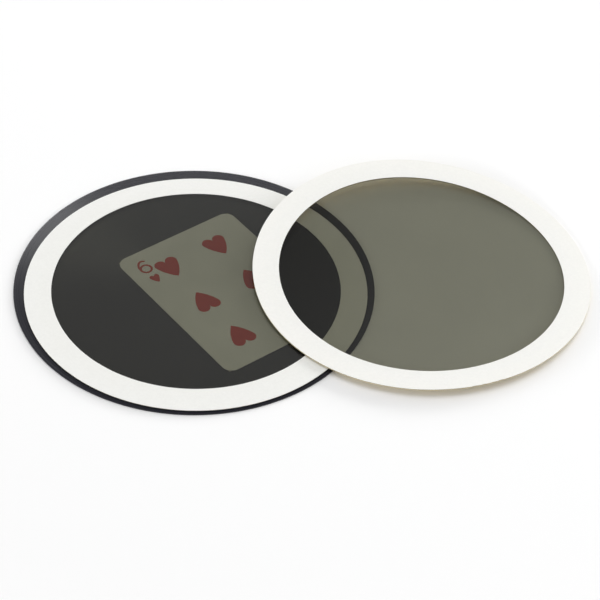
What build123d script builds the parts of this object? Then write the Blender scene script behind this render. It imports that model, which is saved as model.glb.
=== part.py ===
from build123d import *
import os
from math import asin, atan2, cos, degrees, radians, sin, sqrt

# Polarising card-vanish set, in millimetres.  A black board carries a playing
# card under a polarising film with a white ring round it.  A second ring with
# the same film is loose: it leans on the board's edge and its far edge lies on
# the table.  Origin: centre of the board's underside, on the table.  +Z is up.

# ---- Board and card ----
board_radius = 81.2
board_thickness = 0.8
board_edge_radius = 0.25
card_width = 63.0
card_length = 88.0
card_thickness = 0.25
card_corner_radius = 5.0
card_x = 15.35
card_y = -2.0
card_heading = 39.0          # of the card's short side, anticlockwise from +X
card_tape_inset = 1.0
glue_thickness = 0.05

# ---- Printing on the card ----
ink_thickness = 0.02
pip_width = 11.4
pip_height = 13.1
pip_inset = 18.3             # from the card's long edge to the pips' column
pip_row_pitch = 26.7
index_inset = 8.9            # from the card's long edge
numeral_drop = 11.6          # from the card's short edge to the numeral's bowl
numeral_bowl_radius = 2.5    # to the middle of the stroke
numeral_rise = 5.4           # from the bowl's centre to the top of the stroke
numeral_stroke = 1.05
corner_heart_drop = 19.5
corner_heart_width = 4.7
corner_heart_height = 5.4
heart_lobe_sweep = 195       # degrees of arc from the cleft round to the side

# ---- Rings and films ----
window_radius = 65.0
ring_width = 12.0
film_thickness = 0.15
base_ring_thickness = 0.25
filter_ring_thickness = 0.20
tape_inset = 0.5             # tape stands back from the window's edge
mounting_tape_inset = 2.0    # clears the card's corners
ring_x = 0.9                 # the ring was laid on the board by hand, so it is
ring_y = -2.7                # a little off the board's centre
base_window_shift = 0.85     # the flat ring's window was cut off its centre, to +Y

# ---- Loose filter: where it lies and how it has curled ----
filter_x = 102.35
filter_y = 13.8
curl_radius = 792.0
curl_heading = 31.9          # of the straight line along the curled sheet
curl_line_offset = -15.3     # of that line from the disc's centre
rest_gap = 0.35              # between the filter's film and the ring that it leans on
blank_margin = 2.0           # the curled blank is this much larger than the disc

# ---- Heights of the layers on the board ----
card_tape_top = board_thickness + glue_thickness
card_top = card_tape_top + card_thickness
base_film_bottom = card_top + ink_thickness
base_film_top = base_film_bottom + film_thickness
base_tape_top = base_film_top + glue_thickness
base_top = base_tape_top + base_ring_thickness

# ---- Heights of the layers in the filter, above its own underside ----
lower_tape_bottom = filter_ring_thickness
filter_film_bottom = lower_tape_bottom + glue_thickness
upper_tape_bottom = filter_film_bottom + film_thickness
upper_ring_bottom = upper_tape_bottom + glue_thickness
filter_top = upper_ring_bottom + filter_ring_thickness

# ---- Planes of the card and of the ring on the board ----
ring_radius = window_radius + ring_width
card_side = (cos(radians(card_heading)), sin(radians(card_heading)), 0)
card_plane = Plane(origin=(card_x, card_y, 0), x_dir=card_side, z_dir=(0, 0, 1))
ring_plane = Plane(origin=(ring_x, ring_y, 0))

# ---- Planes of the curled filter ----
# One straight line runs along the curled sheet's underside, and its far end is on
# the table.  Where it crosses the base ring's outer edge, the window is above, so
# the film leans on that edge, and the sheet's lean follows from the heights.
along = Vector(cos(radians(curl_heading)), sin(radians(curl_heading)))
across = Vector(-sin(radians(curl_heading)), cos(radians(curl_heading)))
line_middle = Vector(filter_x, filter_y) + across * curl_line_offset
half_line = sqrt(ring_radius**2 - curl_line_offset**2)
from_base_ring = line_middle - Vector(ring_x, ring_y)
half_chord = sqrt(ring_radius**2 - from_base_ring.dot(across) ** 2)
crossing = half_chord - from_base_ring.dot(along)
film_seat = base_top + rest_gap - filter_film_bottom
lean = atan2(film_seat, half_line - crossing)
line_end = line_middle + along * half_line
line_direction = Vector(along.X * cos(lean), along.Y * cos(lean), -sin(lean))
sheet_normal = Vector(along.X * sin(lean), along.Y * sin(lean), cos(lean))
sheet_plane = Plane(origin=line_end, x_dir=line_direction, z_dir=sheet_normal)
curl_plane = Plane(origin=line_end, x_dir=across, z_dir=line_direction)
disc_centre = (-half_line, -curl_line_offset)

# ---- Blank of the curled sheet, from which each layer is cut round ----
blank_half_width = ring_radius + abs(curl_line_offset) + blank_margin
blank_length = 2 * ring_radius + blank_margin
blank_half_angle = degrees(asin(blank_half_width / curl_radius))
cut_height = blank_half_width**2 / curl_radius + blank_margin


def heart(width, height):
    """Face of a heart with its tip towards -Y, centred on its own height."""
    lobe = width / 4
    with BuildSketch(mode=Mode.PRIVATE) as outline:
        with BuildLine():
            top = CenterArc((lobe, height / 2 - lobe), lobe, 180, -heart_lobe_sweep)
            side = TangentArc(top @ 1, (0, -height / 2), tangent=top % 1)
            Line(side @ 1, top @ 0)
        make_face()
        mirror(about=Plane.YZ)
    return outline.sketch


os.makedirs("parts", exist_ok=True)

# ---- Backing board: a thin black disc with its edges eased ----
with BuildPart() as backing_board:
    with BuildSketch():
        Circle(board_radius)
    extrude(amount=board_thickness)
    fillet(backing_board.edges().filter_by(GeomType.CIRCLE), board_edge_radius)
backing_board.part.label = "backing_board"
export_step(backing_board.part, "parts/backing_board.step")

# ---- Double-sided tape under the card ----
with BuildPart() as card_tape:
    with BuildSketch(card_plane.offset(board_thickness)):
        Rectangle(card_width - 2 * card_tape_inset, card_length - 2 * card_tape_inset)
    extrude(amount=glue_thickness)
card_tape.part.label = "card_tape"
export_step(card_tape.part, "parts/card_tape.step")

# ---- Playing card ----
with BuildPart() as playing_card:
    with BuildSketch(card_plane.offset(card_tape_top)):
        RectangleRounded(card_width, card_length, card_corner_radius)
    extrude(amount=card_thickness)
playing_card.part.label = "playing_card"
export_step(playing_card.part, "parts/playing_card.step")

# ---- Six pips: the first row upright, the other two rows turned over ----
pip_x = card_width / 2 - pip_inset
pip = heart(pip_width, pip_height)
with BuildPart() as card_pips:
    with BuildSketch(card_plane.offset(card_top)):
        for column in (-pip_x, pip_x):
            with Locations((column, pip_row_pitch)):
                add(pip)
            with Locations((column, 0), (column, -pip_row_pitch)):
                add(pip, rotation=180)
    extrude(amount=ink_thickness)
card_pips.part.label = "card_pips"
export_step(card_pips.part, "parts/card_pips.step")

# ---- Numeral 6 in two opposite corners: a round bowl and a curved stem ----
index_x = card_width / 2 - index_inset
numeral_y = card_length / 2 - numeral_drop
stem_points = [
    (-numeral_bowl_radius, 0),
    (-0.7 * numeral_bowl_radius, 0.68 * numeral_rise),
    (0.1 * numeral_bowl_radius, numeral_rise),
    (0.9 * numeral_bowl_radius, 0.84 * numeral_rise),
]
with BuildSketch(mode=Mode.PRIVATE) as numeral:
    Circle(numeral_bowl_radius + numeral_stroke / 2)
    Circle(numeral_bowl_radius - numeral_stroke / 2, mode=Mode.SUBTRACT)
    with BuildLine() as stem:
        Spline(stem_points, tangents=[(0, 1), (1, -1)])
    trace(stem.line, numeral_stroke)
with BuildPart() as card_numerals:
    with BuildSketch(card_plane.offset(card_top)):
        with Locations((-index_x, numeral_y)):
            add(numeral.sketch)
        with Locations((index_x, -numeral_y)):
            add(numeral.sketch, rotation=180)
    extrude(amount=ink_thickness)
card_numerals.part.label = "card_numerals"
export_step(card_numerals.part, "parts/card_numerals.step")

# ---- Small heart under each numeral ----
corner_heart_y = card_length / 2 - corner_heart_drop
corner_heart = heart(corner_heart_width, corner_heart_height)
with BuildPart() as card_corner_hearts:
    with BuildSketch(card_plane.offset(card_top)):
        with Locations((-index_x, corner_heart_y)):
            add(corner_heart)
        with Locations((index_x, -corner_heart_y)):
            add(corner_heart, rotation=180)
    extrude(amount=ink_thickness)
card_corner_hearts.part.label = "card_corner_hearts"
export_step(card_corner_hearts.part, "parts/card_corner_hearts.step")

# ---- Flat rings and film on the board: bottom, top and inner radius ----
flat_layers = {
    "mounting_tape": (board_thickness, base_film_bottom, window_radius + mounting_tape_inset),
    "base_film": (base_film_bottom, base_film_top, 0),
    "base_ring_tape": (base_film_top, base_tape_top, window_radius + tape_inset),
    "base_ring": (base_tape_top, base_top, window_radius),
}
for node, (bottom, top, inner_radius) in flat_layers.items():
    with BuildPart() as flat_layer:
        with BuildSketch(ring_plane.offset(bottom)):
            Circle(ring_radius)
            if inner_radius > 0:
                with Locations((0, base_window_shift)):
                    Circle(inner_radius, mode=Mode.SUBTRACT)
        extrude(amount=top - bottom)
    flat_layer.part.label = node
    export_step(flat_layer.part, f"parts/{node}.step")

# ---- Curled rings and film of the loose filter: bottom, top and inner radius ----
curled_layers = {
    "filter_lower_ring": (0, lower_tape_bottom, window_radius),
    "filter_lower_tape": (lower_tape_bottom, filter_film_bottom, window_radius + tape_inset),
    "filter_film": (filter_film_bottom, upper_tape_bottom, 0),
    "filter_upper_tape": (upper_tape_bottom, upper_ring_bottom, window_radius + tape_inset),
    "filter_upper_ring": (upper_ring_bottom, filter_top, window_radius),
}
first_angle = 270 - blank_half_angle
for node, (bottom, top, inner_radius) in curled_layers.items():
    with BuildPart() as curled_layer:
        with BuildSketch(curl_plane):
            with BuildLine():
                under = CenterArc(
                    (0, curl_radius), curl_radius - bottom, first_angle, 2 * blank_half_angle
                )
                over = CenterArc(
                    (0, curl_radius), curl_radius - top, first_angle, 2 * blank_half_angle
                )
                Line(under @ 0, over @ 0)
                Line(under @ 1, over @ 1)
            make_face()
        extrude(amount=blank_length, both=True)
        with BuildSketch(sheet_plane):
            with Locations(disc_centre):
                Circle(ring_radius)
                if inner_radius > 0:
                    Circle(inner_radius, mode=Mode.SUBTRACT)
        extrude(amount=cut_height, both=True, mode=Mode.INTERSECT)
    curled_layer.part.label = node
    export_step(curled_layer.part, f"parts/{node}.step")

print(f"base {base_top:.2f} mm high, filter leans {degrees(lean):.2f} degrees")
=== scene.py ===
# %% [markdown]
# # A polarising card set
#
# The object is flat and layered. A black board carries a playing card under a
# sheet of polarising film with a white paper ring round it. A second ring with
# the same film is loose, has curled a little, and leans on the first ring's
# edge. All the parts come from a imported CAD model, which gives their places.
# This lesson gives them clean meshes and finishes, in metres, in those places.

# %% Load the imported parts
import math

import bmesh
import bpy
from mathutils import Matrix, Vector


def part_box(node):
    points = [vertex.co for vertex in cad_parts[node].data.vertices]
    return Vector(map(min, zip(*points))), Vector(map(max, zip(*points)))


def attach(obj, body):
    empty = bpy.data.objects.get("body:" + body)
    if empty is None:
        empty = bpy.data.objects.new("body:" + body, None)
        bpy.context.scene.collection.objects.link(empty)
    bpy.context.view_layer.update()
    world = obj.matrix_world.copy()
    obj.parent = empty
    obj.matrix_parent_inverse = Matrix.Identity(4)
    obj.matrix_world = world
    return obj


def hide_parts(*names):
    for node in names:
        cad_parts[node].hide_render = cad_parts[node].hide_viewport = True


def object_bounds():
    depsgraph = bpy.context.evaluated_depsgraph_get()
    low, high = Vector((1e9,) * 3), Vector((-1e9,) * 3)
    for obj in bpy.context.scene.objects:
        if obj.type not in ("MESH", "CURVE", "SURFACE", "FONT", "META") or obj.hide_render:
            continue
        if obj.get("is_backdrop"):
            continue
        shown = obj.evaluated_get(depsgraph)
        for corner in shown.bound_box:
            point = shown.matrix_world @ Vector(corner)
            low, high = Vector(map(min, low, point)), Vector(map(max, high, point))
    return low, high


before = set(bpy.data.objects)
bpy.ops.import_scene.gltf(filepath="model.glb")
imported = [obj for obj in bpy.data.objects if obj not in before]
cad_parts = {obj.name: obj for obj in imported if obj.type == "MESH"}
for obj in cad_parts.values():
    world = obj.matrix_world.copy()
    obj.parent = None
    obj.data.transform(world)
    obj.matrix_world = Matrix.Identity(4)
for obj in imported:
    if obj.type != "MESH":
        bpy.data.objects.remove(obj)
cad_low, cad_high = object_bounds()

MM = 0.001

# %% [markdown]
# ## The camera
#
# The camera stands in front of the set and looks down at it through a long
# lens, from nearly a metre away. A long lens keeps circles close to true
# ellipses. The turn about the lens's own axis is added last: the camera is first
# tipped down about its X axis, and then rolled about its own Z axis.

# %% Place the camera
camera_place = Vector((47.7, -720.5, 658.4)) * MM
camera_down = math.radians(42.66)
camera_roll = math.radians(2.60)

lens = bpy.data.cameras.new("camera")
lens.sensor_width = 36.0
lens.lens = 129.9
camera = bpy.data.objects.new("camera", lens)
tipped = Matrix.Rotation(math.pi / 2 - camera_down, 4, "X")
rolled = Matrix.Rotation(camera_roll, 4, "Z")
camera.matrix_world = Matrix.Translation(camera_place) @ tipped @ rolled
bpy.context.scene.collection.objects.link(camera)
bpy.context.scene.camera = camera
print("camera distance: %.3f m" % camera_place.length)

# %% [markdown]
# ## Helpers for node graphs
#
# A material is a small graph of nodes. These helpers keep the graphs short. One
# makes an empty graph and one closes it. One adds a node, sets its sockets that
# are plain numbers, and plugs in those that come from other nodes. The last
# three are the small sums that nearly every graph here needs.

# %% Graph helpers
def new_graph(name):
    """An empty material and its node tree, with only an output node."""
    material = bpy.data.materials.new(name)
    material.use_nodes = True
    tree = material.node_tree
    tree.nodes.clear()
    tree.nodes.new("ShaderNodeOutputMaterial")
    return material, tree


def show(material, shader):
    """Plug a shader into the material's output, which completes the graph."""
    tree = material.node_tree
    tree.links.new(shader, tree.nodes["Material Output"].inputs["Surface"])
    print("finish:", material.name, "from", len(tree.nodes), "nodes")


def plug(tree, value, socket):
    """Link a value that comes from another node, or write a plain one in."""
    if isinstance(value, bpy.types.NodeSocket):
        tree.links.new(value, socket)
    else:
        socket.default_value = value


def node(tree, kind, settings=None, **sockets):
    """A node with its settings and sockets.

    A socket's name has _ for each space. Where names repeat, i0, i1 and so on
    count the sockets from the top.
    """
    made = tree.nodes.new("ShaderNode" + kind)
    for key, value in (settings or {}).items():
        setattr(made, key, value)
    for key, value in sockets.items():
        counted = key[0] == "i" and key[1:].isdigit()
        plug(tree, value, made.inputs[int(key[1:]) if counted else key.replace("_", " ")])
    return made


def remap(tree, value, low, high, to_low=0.0, to_high=1.0):
    """value taken from the range low..high to the range to_low..to_high."""
    return node(tree, "MapRange", None, Value=value, i1=low, i2=high, i3=to_low, i4=to_high).outputs[0]


def maths(tree, operation, first, second=0.0):
    """One Math node on sockets or plain numbers."""
    return node(tree, "Math", {"operation": operation}, i0=first, i1=second).outputs[0]


def how_far(tree, centre=(0, 0, 0)):
    """Distance of each point of an object from a centre, in metres."""
    place = node(tree, "TexCoord").outputs["Object"]
    return node(tree, "VectorMath", {"operation": "DISTANCE"}, i0=place, i1=centre).outputs["Value"]


print("helpers:", [f.__name__ for f in (new_graph, show, plug, node, remap, maths, how_far)])

# %% [markdown]
# ## The studio: the table
#
# A product like this is shot on a white table in a white room. The floor near
# the object is an honest diffuse white, so it takes real shadows. Further out,
# what the camera sees of it turns into plain white light, which hides the
# floor's end. Glossy and clear things see that white as the camera does.

# %% Floor
floor_half = 3.0
fade_start, fade_end = 0.17, 0.36

corners = [(x * floor_half, y * floor_half, 0) for x, y in ((-1, -1), (1, -1), (1, 1), (-1, 1))]
floor_mesh = bpy.data.meshes.new("floor")
floor_mesh.from_pydata(corners, [], [(0, 1, 2, 3)])
floor = bpy.data.objects.new("floor", floor_mesh)
bpy.context.scene.collection.objects.link(floor)
floor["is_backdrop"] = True

floor_white, tree = new_graph("floor_white")
matt = node(tree, "BsdfDiffuse", None, Color=(0.965, 0.965, 0.965, 1))
glow = node(tree, "Emission", None, Color=(1, 1, 1, 1), Strength=1.0)
path = node(tree, "LightPath")
seen = maths(tree, "MAXIMUM", path.outputs["Is Camera Ray"], path.outputs["Is Glossy Ray"])
seen = maths(tree, "MAXIMUM", seen, path.outputs["Is Transmission Ray"])
glowing = maths(tree, "MULTIPLY", seen, remap(tree, how_far(tree), fade_start, fade_end))
mix = node(tree, "MixShader", None, Fac=glowing, i1=matt.outputs[0], i2=glow.outputs[0])
show(floor_white, mix.outputs[0])
floor_mesh.materials.append(floor_white)

# %% [markdown]
# ## The studio: the room
#
# The room is a world whose colour runs from white at the horizon to a soft grey
# overhead. A walled room with a ceiling would do the same with more work. The
# colour matters because the board and the films are glossy: seen from above
# they mirror the grey and stay dark, and seen from low down the white.

# %% Room
room_tones = [(0.0, 1.0), (0.15, 1.0), (0.30, 0.80), (0.50, 0.60), (0.62, 0.50), (0.75, 0.31), (1.0, 0.30)]

room = bpy.data.worlds.new("room")
room.use_nodes = True
bpy.context.scene.world = room
tree = room.node_tree
tree.nodes.clear()
heading = node(tree, "SeparateXYZ", None, Vector=node(tree, "TexCoord").outputs["Generated"])
ramp = node(tree, "ValToRGB", None, Fac=heading.outputs["Z"])
while len(ramp.color_ramp.elements) < len(room_tones):
    ramp.color_ramp.elements.new(0.5)
for stop, (height, grey) in zip(ramp.color_ramp.elements, room_tones):
    stop.position = height
    stop.color = (grey, grey, grey, 1)
light = node(tree, "Background", None, Color=ramp.outputs[0], Strength=1.0)
node(tree, "OutputWorld", None, Surface=light.outputs[0])
print("room: white at the horizon, %.0f%% grey overhead" % (100 * room_tones[-1][1]))

# %% [markdown]
# ## The studio: the lamps
#
# Area lamps stand in for softboxes. The largest hangs overhead, a little behind
# the set, and makes short, soft shadows. Three low ones, at the right, behind
# and at the left, add the wide faint shadow that thin things on a table have.
# Reflections leave these four out (visible_glossy is off), so the clear films
# stay clear from every side. The last two draw the sheen on the board's rim.
# They would glare in the films too, so light linking will keep them for the
# board alone.

# %% Lamps
def softbox(name, heading, climb, distance, width, height, watts, mirrored):
    """A flat area lamp at a compass heading and a climb angle, aimed at the set."""
    lamp = bpy.data.lights.new(name, "AREA")
    lamp.shape = "RECTANGLE"
    lamp.size = width
    lamp.size_y = height
    lamp.energy = watts
    made = bpy.data.objects.new(name, lamp)
    level = distance * math.cos(math.radians(climb))
    target = (cad_low + cad_high) / 2
    place = target + Vector((
        level * math.cos(math.radians(heading)),
        level * math.sin(math.radians(heading)),
        distance * math.sin(math.radians(climb)),
    ))
    aim = (target - place).to_track_quat("-Z", "Y").to_matrix().to_4x4()
    made.matrix_world = Matrix.Translation(place) @ aim
    made.visible_glossy = mirrored
    bpy.context.scene.collection.objects.link(made)
    print("%s: %.0f W, %.2f m above the table" % (name, watts, place.z))
    return made


# Heading and climb in degrees, distance, width and height in metres, and watts.
soft_lamps = {
    "overhead_softbox": (45, 75, 2.6, 2.2, 2.2, 27.0),
    "right_softbox": (26, 11, 2.4, 1.4, 0.4, 31.0),
    "back_softbox": (55, 16, 2.4, 1.4, 0.5, 17.0),
    "left_softbox": (200, 12, 2.4, 1.4, 0.4, 22.0),
}
rim_lamps = {
    "back_sheen": (112, 27, 2.4, 0.5, 0.5, 12.0),
    "strip_sheen": (90, 19, 2.4, 1.2, 0.35, 10.0),
}
for name, numbers in soft_lamps.items():
    softbox(name, *numbers, mirrored=False)
sheen_lamps = [softbox(name, *numbers, mirrored=True) for name, numbers in rim_lamps.items()]

# %% [markdown]
# ## Places of the flat layers
#
# The flat ring's centre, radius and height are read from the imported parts. The
# window's radius is a size of its own, because a ring's box doesn't show it.

# %% Flat layers
window_radius = 65.0 * MM


def middle(name):
    """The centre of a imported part's box."""
    low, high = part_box(name)
    return (low + high) / 2


low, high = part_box("base_ring")
ring_centre = middle("base_ring")
ring_radius = (high.x - low.x) / 2
base_top = high.z


def flat_place(r, angle, rise):
    """A point of a flat layer round the base ring's centre."""
    return Vector((ring_centre.x + r * math.cos(angle), ring_centre.y + r * math.sin(angle), rise))


print("ring radius: %.1f mm, base height: %.2f mm" % (ring_radius / MM, base_top / MM))

# %% [markdown]
# ## Places of the curled layers
#
# Film comes off a roll and keeps some of that curve, so a loose disc curls.
# Bending a flat mesh would do, but the sheet is simply part of a very wide
# cylinder that lies on one straight line, so each point can be worked out. That
# line's far end is on the table, and the film above it rests on the flat ring's
# edge. Where the line crosses that edge gives the angle at which the disc leans.

# %% Curled layers
curl_radius = 792.0 * MM
curl_heading = math.radians(31.9)
curl_line_offset = -15.3 * MM
rest_gap = 0.35 * MM
filter_ring_thickness = 0.20 * MM
glue_thickness = 0.05 * MM
film_thickness = 0.15 * MM

filter_middle = middle("filter_lower_ring")
filter_centre = Vector((filter_middle.x, filter_middle.y, 0))
along = Vector((math.cos(curl_heading), math.sin(curl_heading), 0))
across = Vector((-math.sin(curl_heading), math.cos(curl_heading), 0))
line_middle = filter_centre + across * curl_line_offset
half_line = math.sqrt(ring_radius**2 - curl_line_offset**2)

from_ring = line_middle - Vector((ring_centre.x, ring_centre.y, 0))
half_chord = math.sqrt(ring_radius**2 - from_ring.dot(across) ** 2)
crossing = half_chord - from_ring.dot(along)
film_seat = base_top + rest_gap - filter_ring_thickness - glue_thickness
lean = math.atan2(film_seat, half_line - crossing)

line_end = line_middle + along * half_line
line_direction = along * math.cos(lean) - Vector((0, 0, math.sin(lean)))
sheet_normal = along * math.sin(lean) + Vector((0, 0, math.cos(lean)))


def curled_place(r, angle, rise):
    """A point of the curled disc: rise is its height above the underside."""
    run = r * math.cos(angle) - half_line
    side = r * math.sin(angle) - curl_line_offset
    lift = curl_radius - math.sqrt((curl_radius - rise) ** 2 - side**2)
    return line_end + line_direction * run + across * side + sheet_normal * lift


print("the loose disc leans by %.2f degrees" % math.degrees(lean))

# %% [markdown]
# ## Turning thin sheets
#
# Every layer but the card is round, and all are very thin. A solidified circle
# would have knife edges, and a cylinder primitive can't be curled, so each round
# layer is turned: a small outline of radius and height goes round in steps, and
# a function says where each point lies. The outline's corners are eased, because
# even die-cut paper has no perfectly sharp edge and the eased edge catches light.

# %% Outline of a sheet
corner_cut = 0.3


def sheet_outline(inner, outer, bottom, top, ease, rings):
    """Closed outline of a thin ring, or from axis to axis for a disc.

    ease is how far each corner is cut back, and rings how many bands of faces
    the flat sides are divided into.
    """
    cut = ease * corner_cut
    first = inner + 2 * ease if inner > 0 else 0.0
    last = outer - 2 * ease
    spots = [first + (last - first) * k / rings for k in range(rings + 1)] + [outer - ease]
    if inner > 0:
        spots.insert(0, inner + ease)
    outline = [(r, bottom) for r in spots]
    outline += [(outer - cut, bottom + cut), (outer, bottom + ease)]
    outline += [(outer, top - ease), (outer - cut, top - cut)]
    outline += [(r, top) for r in reversed(spots)]
    if inner > 0:
        outline += [(inner + cut, top - cut), (inner, top - ease)]
        outline += [(inner, bottom + ease), (inner + cut, bottom + cut)]
    return outline


print("points of a 1 mm ring's outline:", len(sheet_outline(65 * MM, 77 * MM, 0, MM, 0.05 * MM, 4)))

# %% [markdown]
# The turned points become one closed mesh. All the vertices of an outline point
# on the axis are one vertex, so a disc closes in triangles there. Smooth
# shading with sharp edges past a set angle keeps the faces flat and the corners
# crisp. A second helper gives each piece its body and its finish, and hides the
# CAD part that it stands for.

# %% Turning helpers
turning_steps = 360
crease = math.radians(40)


def made_piece(name, bm):
    """An object in the scene from a finished bmesh, which is freed."""
    bmesh.ops.recalc_face_normals(bm, faces=bm.faces)
    mesh = bpy.data.meshes.new(name)
    bm.to_mesh(mesh)
    bm.free()
    mesh.shade_smooth()
    mesh.set_sharp_from_angle(angle=crease)
    piece = bpy.data.objects.new(name, mesh)
    bpy.context.scene.collection.objects.link(piece)
    return piece


def turned(name, outline, place, edge=None):
    """A closed piece made by taking an outline round the axis."""
    bm = bmesh.new()
    loops = []
    for r, rise in outline:
        if r == 0:
            loops.append([bm.verts.new(place(0, 0, rise))] * turning_steps)
            continue
        loop = []
        for k in range(turning_steps):
            angle = math.tau * k / turning_steps
            loop.append(bm.verts.new(place(edge(r, angle) if edge else r, angle, rise)))
        loops.append(loop)
    closed = outline[0][0] > 0
    pairs = list(zip(loops, loops[1:])) + ([(loops[-1], loops[0])] if closed else [])
    for near, away in pairs:
        for k in range(turning_steps):
            j = (k + 1) % turning_steps
            corners = [near[k], near[j], away[j], away[k]]
            bm.faces.new(list(dict.fromkeys(corners)))
    return made_piece(name, bm)


def finish_piece(piece, body, replaced, material):
    """Give a piece its body and its finish, and hide the CAD part that it stands for."""
    piece.data.materials.clear()
    piece.data.materials.append(material)
    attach(piece, body)
    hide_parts(replaced)
    size = piece.dimensions / MM
    print("%s: %.1f x %.1f x %.2f mm" % (piece.name, *size))


print("one step is %.2f mm long at the ring's edge" % (math.tau * ring_radius / turning_steps / MM))

# %% [markdown]
# ## Helpers for uneven surfaces
#
# No real surface is one flat colour with one gloss. Noise in object space makes
# it vary without any image, and it needs no unwrapping. One helper makes the
# noise at a given size, one turns a factor into a colour, and one turns noise
# into a number that drifts between two values. Noise rarely leaves the middle
# of its range from 0 to 1, so the last one stretches just that middle.

# %% Surface helpers
noise_low, noise_high = 0.3, 0.7


def grain(tree, size, detail=2.0, rough=0.5):
    """Noise in object space whose features are about size metres across."""
    place = node(tree, "TexCoord").outputs["Object"]
    noise = node(tree, "TexNoise", None, Vector=place, Scale=1 / size, Detail=detail, Roughness=rough)
    return noise.outputs[0]


def tone(tree, factor, dark, light):
    """A colour that runs from dark to light as factor goes from 0 to 1."""
    mix = node(tree, "Mix", {"data_type": "RGBA"}, i0=factor, i6=(*dark, 1), i7=(*light, 1))
    return mix.outputs[2]


def drift(tree, size, low, high, detail=2.0, rough=0.5):
    """A number that drifts from low to high in patches about size across."""
    return remap(tree, grain(tree, size, detail, rough), noise_low, noise_high, low, high)


print("helpers:", [f.__name__ for f in (grain, tone, drift)])

# %% [markdown]
# ## The black board
#
# The board is cut from glossy black sheet. Trimming it on a turning table left
# a fine circular grain near the rim, which spreads light to the sides: a lamp
# draws a soft streak there rather than a spot. That is what the anisotropic
# setting does, and a radial tangent with a quarter turn sets its direction.
# Noise that depends only on the distance from the centre gives the grooves,
# and they fade out under the film, where the sheet is still smooth.

# %% Board finish
smooth_radius, grooved_radius = 72.0 * MM, 77.0 * MM
grooves_per_metre = 1800.0
groove_depth = 0.03 * MM
quarter_turn = 0.25

board_black, tree = new_graph("board_black")
around = node(tree, "Tangent", {"direction_type": "RADIAL", "axis": "Z"})
reach = how_far(tree)
lines = node(tree, "TexNoise", {"noise_dimensions": "1D"}, W=reach, Scale=grooves_per_metre, Detail=3.0)
trimmed = remap(tree, reach, smooth_radius, grooved_radius)
groove = maths(tree, "MULTIPLY", maths(tree, "SUBTRACT", lines.outputs[0], 0.5), trimmed)
relief = node(tree, "Bump", None, Strength=0.6, Distance=groove_depth, Height=groove)
gloss_black = node(
    tree, "BsdfPrincipled", None,
    Base_Color=tone(tree, grain(tree, 6 * MM), (0.007, 0.007, 0.012), (0.010, 0.010, 0.016)),
    Roughness=remap(tree, groove, -0.2, 0.2, 0.26, 0.34),
    Specular_IOR_Level=0.35,
    Anisotropic=0.8,
    Anisotropic_Rotation=quarter_turn,
    Tangent=around.outputs[0],
    Normal=relief.outputs[0],
)
show(board_black, gloss_black.outputs[0])

# %% [markdown]
# The board itself is the plainest turned piece, a disc round the origin with a
# rounded edge. A collection that holds only the board is then made the reach of
# the sheen lamps.

# %% Board
board_edge = 0.25 * MM


def board_place(r, angle, rise):
    """A point of the board, which is centred on the origin."""
    return Vector((r * math.cos(angle), r * math.sin(angle), rise))


low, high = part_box("backing_board")
board_outline = sheet_outline(0.0, (high.x - low.x) / 2, low.z, high.z, board_edge, rings=8)
board = turned("board_disc", board_outline, board_place)
finish_piece(board, "base", "backing_board", board_black)

sheen_reach = bpy.data.collections.new("sheen_reach")
sheen_reach.objects.link(board)
for lamp in sheen_lamps:
    lamp.light_linking.receiver_collection = sheen_reach

# %% [markdown]
# ## White paper
#
# All the rings are heavy paper. Paper is never one flat white: it is faintly
# cloudy, its fibres mottle it finely, and the surface has a tooth. The flat
# ring is coated and a little greyer. The loose disc's upper ring is uncoated
# and warmer. Its lower ring has a tan back, which faces the table and warms
# the shadow under the disc's raised edge. On each ring the tone also runs from
# darker by the window to lighter at the outer edge, and that is painted shade.
# One function makes all three, so only their tones, gloss and tooth differ.

# %% Paper
cloud_size, fibre_size, tooth_size, gloss_size = 4.0 * MM, 1.2 * MM, 0.5 * MM, 1.5 * MM
tooth_depth = 0.03 * MM


def paper(name, centre, shaded_inner_tone, lit_outer_tone, roughness, tooth):
    """White paper with painted shade, its tone darker by the window and lighter towards the outer edge."""
    material, tree = new_graph(name)
    # painted shade: the tone is darker by the window and lighter towards the outer edge
    painted_shade_outward = remap(tree, how_far(tree, centre), window_radius, ring_radius)
    cloudy = drift(tree, cloud_size, -0.25, 0.25, detail=4.0)
    plain = tone(tree, maths(tree, "ADD", painted_shade_outward, cloudy), shaded_inner_tone, lit_outer_tone)
    fibres = drift(tree, fibre_size, 0.978, 1.018, detail=4.0, rough=0.6)
    mottled = node(tree, "VectorMath", {"operation": "SCALE"}, i0=plain, Scale=fibres)
    height = grain(tree, tooth_size, detail=5.0, rough=0.7)
    bump = node(tree, "Bump", None, Strength=tooth, Distance=tooth_depth, Height=height)
    stock = node(
        tree, "BsdfPrincipled", None,
        Base_Color=mottled.outputs[0],
        Roughness=drift(tree, gloss_size, roughness - 0.05, roughness + 0.05, detail=3.0),
        Specular_IOR_Level=0.2,
        Normal=bump.outputs[0],
    )
    show(material, stock.outputs[0])
    return material


# Each first tone is the painted shade by the window, each second the lighter outer edge.
coated_white = paper(
    "coated_white", ring_centre, (0.860, 0.860, 0.826), (0.874, 0.874, 0.844),
    roughness=0.5, tooth=0.15,
)
uncoated_white = paper(
    "uncoated_white", filter_centre, (0.870, 0.868, 0.836), (0.892, 0.886, 0.848),
    roughness=0.75, tooth=0.3,
)
tan_backing = paper(
    "tan_backing", filter_centre, (0.68, 0.57, 0.32), (0.72, 0.60, 0.34),
    roughness=0.8, tooth=0.3,
)

# %% [markdown]
# The flat ring lies on the film, over a thin layer of tape. Its window was cut
# a little off its centre, so the ring is narrower at the far side. A place
# function that moves the inner edge more than the outer one does that without
# a second outline.

# %% Flat ring on the board
paper_ease = 0.05 * MM
base_window_shift = 0.85 * MM


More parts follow.
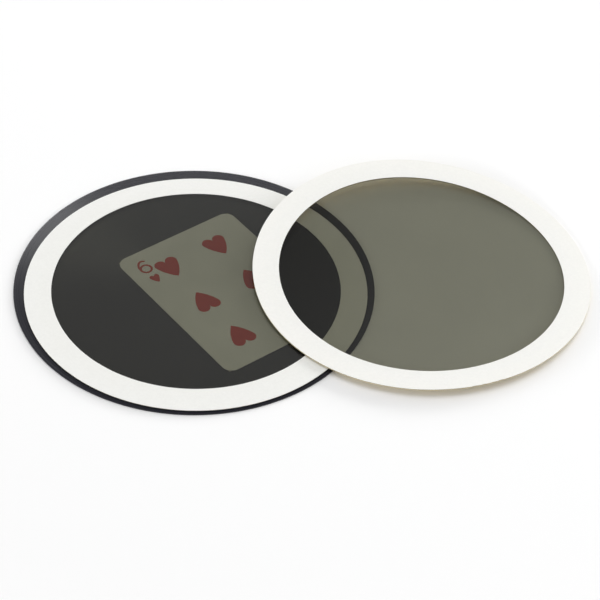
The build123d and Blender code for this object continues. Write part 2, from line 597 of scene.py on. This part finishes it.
def ring_place(r, angle, rise):
    """A point of the flat ring, whose window was cut a little off its centre."""
    inward = (ring_radius - r) / (ring_radius - window_radius)
    return flat_place(r, angle, rise) + Vector((0, base_window_shift * inward, 0))


low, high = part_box("base_ring")
ring_outline = sheet_outline(window_radius, ring_radius, low.z, high.z, paper_ease, rings=4)
ring = turned("base_ring_paper", ring_outline, ring_place)
finish_piece(ring, "base", "base_ring", coated_white)

# %% [markdown]
# The layers of the loose disc were cut together with a die fed by hand, and
# their outer edge shows it: a slow waver of a few hundredths of a millimetre,
# and a few small nicks close together where the cut started and ended. Two sine
# waves that don't fit into each other make a waver that seems to have no
# pattern, and each nick is a bell curve. All five layers share the one function.

# %% Cut edge of the loose disc
edge_share = 0.99
edge_waver = 0.04 * MM
slow_waves, quick_waves = 7, 17
nick_angles = [math.radians(a) for a in (-105.1, -102.1, -98.8, -96.3)]
nick_width = math.radians(0.8)
nick_depth = 0.30 * MM


def die_cut(r, angle):
    """The radius of a cut edge, with its waver and nicks, near the outside."""
    if r < ring_radius * edge_share:
        return r
    waves = (math.sin(slow_waves * angle) + math.sin(quick_waves * angle + 1)) / 2
    turn = (angle + math.pi) % math.tau - math.pi
    nicks = sum(math.exp(-(((turn - a) / nick_width) ** 2)) for a in nick_angles)
    return r + edge_waver * waves - edge_waver - nick_depth * nicks


deepest = ring_radius - min(die_cut(ring_radius, a) for a in nick_angles)
print("deepest nick: %.2f mm" % (deepest / MM))

# %% [markdown]
# The five layers lie straight on one another, so each one's top is the next
# one's bottom. The heights are counted up from the underside. The two paper
# rings are turned first, as the curled outer layers of the sandwich.

# %% Rings of the loose disc
lower_tape_bottom = filter_ring_thickness
film_bottom = lower_tape_bottom + glue_thickness
upper_tape_bottom = film_bottom + film_thickness
upper_ring_bottom = upper_tape_bottom + glue_thickness
filter_top = upper_ring_bottom + filter_ring_thickness

loose_rings = {
    "filter_lower_ring": (0.0, lower_tape_bottom, tan_backing),
    "filter_upper_ring": (upper_ring_bottom, filter_top, uncoated_white),
}
for name, (bottom, top, stock) in loose_rings.items():
    outline = sheet_outline(window_radius, ring_radius, bottom, top, paper_ease, rings=4)
    ring = turned(name + "_paper", outline, curled_place, die_cut)
    finish_piece(ring, "filter", name, stock)

# %% [markdown]
# ## Tape
#
# Double-sided tape holds the layers. On the rings it shows only as a thin tan
# line in the cut edges, so its material needs a waxy, slightly dirty tan. The
# ring of tape that fills the height of the card, between board and film, is
# black and stays hidden. One function makes both finishes, which differ in
# their tones, in the size of their cloudy patches and in gloss.

# %% Tape finishes
gloss_patch = 1.0 * MM


def tape_finish(name, patch, dark, light, smooth, dull):
    """Waxy tape, cloudy in patches, whose roughness drifts from smooth to dull."""
    material, tree = new_graph(name)
    colour = tone(tree, grain(tree, patch), dark, light)
    rough = drift(tree, gloss_patch, smooth, dull)
    waxy = node(tree, "BsdfPrincipled", None, Base_Color=colour, Roughness=rough)
    show(material, waxy.outputs[0])
    return material


tape_tan = tape_finish(
    "tape_tan", 3 * MM, (0.50, 0.45, 0.34), (0.66, 0.61, 0.49),
    smooth=0.5, dull=0.7,
)
tape_black = tape_finish(
    "tape_black", 2 * MM, (0.010, 0.010, 0.011), (0.022, 0.022, 0.023),
    smooth=0.6, dull=0.8,
)

# %% [markdown]
# The loose disc's two layers of tape are turned as its rings are, a little
# short of the window, where the glue was kept back from the edge. The flat
# tapes have the right shape in the CAD model, so they only get the finish.

# %% Tape
tape_inset = 0.5 * MM
tape_ease = 0.01 * MM


def finish_nodes(names, material):
    """Give parts that keep their CAD shape a finish."""
    for name in names:
        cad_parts[name].data.materials.clear()
        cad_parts[name].data.materials.append(material)
        print("%s: CAD shape with %s" % (name, material.name))


loose_tapes = {
    "filter_lower_tape": (lower_tape_bottom, film_bottom),
    "filter_upper_tape": (upper_tape_bottom, upper_ring_bottom),
}
for name, (bottom, top) in loose_tapes.items():
    outline = sheet_outline(window_radius + tape_inset, ring_radius, bottom, top, tape_ease, rings=4)
    tape = turned(name + "_edge", outline, curled_place, die_cut)
    finish_piece(tape, "filter", name, tape_tan)

finish_nodes(("card_tape", "base_ring_tape"), tape_tan)
finish_nodes(("mounting_tape",), tape_black)

# %% [markdown]
# ## The playing card
#
# A card is two papers glued together, rounded at the corners and varnished over
# a fine woven texture. The weave is two crossed sets of waves that feed a bump
# node. At scale 1 a wave texture's bands lie about a third of a metre apart, so
# that spacing over the weave's pitch is the scale that it needs.

# %% Card stock
card_heading = math.radians(39.0)
band_spacing = 2 / math.tau
weave_pitch = 0.6 * MM
weave_depth = 0.02 * MM

card_stock, tree = new_graph("card_stock")
turn = node(tree, "Mapping", None, Vector=node(tree, "TexCoord").outputs["Object"])
turn.inputs["Rotation"].default_value = (0, 0, -card_heading)
weave = []
for direction in ("X", "Y"):
    bands = {"wave_type": "BANDS", "bands_direction": direction}
    wave = node(tree, "TexWave", bands, Vector=turn.outputs[0], Scale=band_spacing / weave_pitch)
    weave.append(wave.outputs[1])
both = maths(tree, "MULTIPLY", *weave)
bump = node(tree, "Bump", None, Strength=0.15, Distance=weave_depth, Height=both)
cloud = drift(tree, 12 * MM, 0.0, 1.0, detail=3.0)
varnish = node(
    tree, "BsdfPrincipled", None,
    Base_Color=tone(tree, cloud, (0.85, 0.85, 0.81), (0.90, 0.90, 0.86)),
    Roughness=remap(tree, both, 0.0, 1.0, 0.35, 0.45),
    Normal=bump.outputs[0],
)
show(card_stock, varnish.outputs[0])

# %% [markdown]
# The sheet can't be turned, so it is built as a stack of rounded rectangles. The
# lowest and the highest are inset a little, which eases the edges, and each is
# closed with one flat face.

# %% Card sheet
card_width, card_length = 63.0 * MM, 88.0 * MM
card_corner = 5.0 * MM
card_ease = 0.04 * MM
corner_steps = 12


def card_loop(inset):
    """Points round a rounded rectangle that is inset from the card's edge."""
    radius = card_corner - inset
    points = []
    for quarter in range(4):
        sx = 1 if quarter in (0, 3) else -1
        sy = 1 if quarter in (0, 1) else -1
        hub = Vector((sx * (card_width / 2 - card_corner), sy * (card_length / 2 - card_corner)))
        for k in range(corner_steps + 1):
            angle = math.pi / 2 * (quarter + k / corner_steps)
            points.append(hub + Vector((math.cos(angle), math.sin(angle))) * radius)
    return points


low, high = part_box("playing_card")
card_centre = middle("playing_card")
spin = Matrix.Rotation(card_heading, 2)
levels = [(card_ease, low.z), (0, low.z + card_ease), (0, high.z - card_ease), (card_ease, high.z)]
bm = bmesh.new()
loops = []
for inset, rise in levels:
    spots = [spin @ p for p in card_loop(inset)]
    loops.append([bm.verts.new((card_centre.x + p.x, card_centre.y + p.y, rise)) for p in spots])
for near, away in zip(loops, loops[1:]):
    for k in range(len(near)):
        j = (k + 1) % len(near)
        bm.faces.new((near[k], near[j], away[j], away[k]))
bm.faces.new(list(reversed(loops[0])))
bm.faces.new(loops[-1])
card = made_piece("card_sheet", bm)
finish_piece(card, "base", "playing_card", card_stock)

# %% [markdown]
# The red figures keep their CAD shapes. Printing ink on varnished card is even
# but not perfect, so a fine noise lets the red vary a little.

# %% Ink
red_ink, tree = new_graph("red_ink")
colour = tone(tree, grain(tree, 1.2 * MM, detail=3.0), (0.57, 0.028, 0.002), (0.63, 0.038, 0.004))
ink = node(tree, "BsdfPrincipled", None, Base_Color=colour, Roughness=drift(tree, 0.8 * MM, 0.35, 0.5))
show(red_ink, ink.outputs[0])
finish_nodes(("card_pips", "card_numerals", "card_corner_hearts"), red_ink)

# %% [markdown]
# ## The polarising film
#
# The film is a clear plastic sheet with a neutral olive tint. A glass shader
# would bend light and need many samples for a sheet this thin, so the film is a
# tinted transparent shader with a glossy one on top, mixed by Fresnel. Each
# surface of the sheet gives half of the tint. Two crossed polarisers let
# nothing through, so the film on the board answers with black when a line of
# sight has already passed the loose film. Alone, its two surfaces are met at a
# transparent depth of 0 and 1. Behind the loose film that is 2 and 3, so a
# depth between 1 and 2 tells the two cases apart.

# %% Film finishes
film_tint = (0.644, 0.644, 0.599)
film_ior = 1.5
crossing_depth = 1.5


def film(name, haze, crossed):
    """Tinted clear film. haze is its share of milky scatter."""
    material, tree = new_graph(name)
    passing = drift(tree, 50 * MM, 0.992, 1.008)
    if crossed:
        path = node(tree, "LightPath")
        doubled = maths(tree, "GREATER_THAN", path.outputs["Transparent Depth"], crossing_depth)
        looked_at = maths(tree, "MULTIPLY", doubled, path.outputs["Is Camera Ray"])
        passing = maths(tree, "MULTIPLY", passing, maths(tree, "SUBTRACT", 1.0, looked_at))
    tint = node(tree, "VectorMath", {"operation": "SCALE"}, i0=film_tint, Scale=passing)
    body = node(tree, "BsdfTransparent", None, Color=tint.outputs[0]).outputs[0]
    if haze > 0:
        milky = node(tree, "BsdfDiffuse", None, Color=(0.8, 0.8, 0.76, 1)).outputs[0]
        body = node(tree, "MixShader", None, Fac=haze, i1=body, i2=milky).outputs[0]
    rough = drift(tree, 15 * MM, 0.05, 0.10, detail=3.0)
    gloss = node(tree, "BsdfGlossy", None, Color=(1, 1, 1, 1), Roughness=rough).outputs[0]
    edge_on = node(tree, "Fresnel", None, IOR=film_ior).outputs[0]
    front = maths(tree, "SUBTRACT", 1.0, node(tree, "NewGeometry").outputs["Backfacing"])
    mirrored = maths(tree, "MULTIPLY", edge_on, front)
    surface = node(tree, "MixShader", None, Fac=mirrored, i1=body, i2=gloss)
    show(material, surface.outputs[0])
    return material


base_film = film("base_film", haze=0.012, crossed=True)
loose_film = film("loose_film", haze=0.0, crossed=False)

# %% [markdown]
# Both sheets are turned discs. The flat one needs few bands of faces, and it
# starts a hair above the card's ink. The curled one needs many, because a band
# is straight across its width and the curl has to be smooth.

# %% Films
film_ease = 0.02 * MM
ink_clearance = 0.01 * MM

low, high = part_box("base_film")
outline = sheet_outline(0.0, ring_radius, low.z + ink_clearance, high.z, film_ease, rings=3)
sheet = turned("base_film_sheet", outline, flat_place)
finish_piece(sheet, "base", "base_film", base_film)

outline = sheet_outline(0.0, ring_radius, film_bottom, upper_tape_bottom, film_ease, rings=18)
sheet = turned("filter_film_sheet", outline, curled_place, die_cut)
finish_piece(sheet, "filter", "filter_film", loose_film)

# %% [markdown]
# ## Check and finish
#
# The view transform stays plain, so that colours come out as written. The last
# lines compare the finished object's box with the CAD model's box.

# %% Finish
bpy.context.scene.view_settings.view_transform = "Standard"
low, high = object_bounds()
print("box grew below by:", [round(v / MM, 3) for v in cad_low - low])
print("box grew above by:", [round(v / MM, 3) for v in high - cad_high])
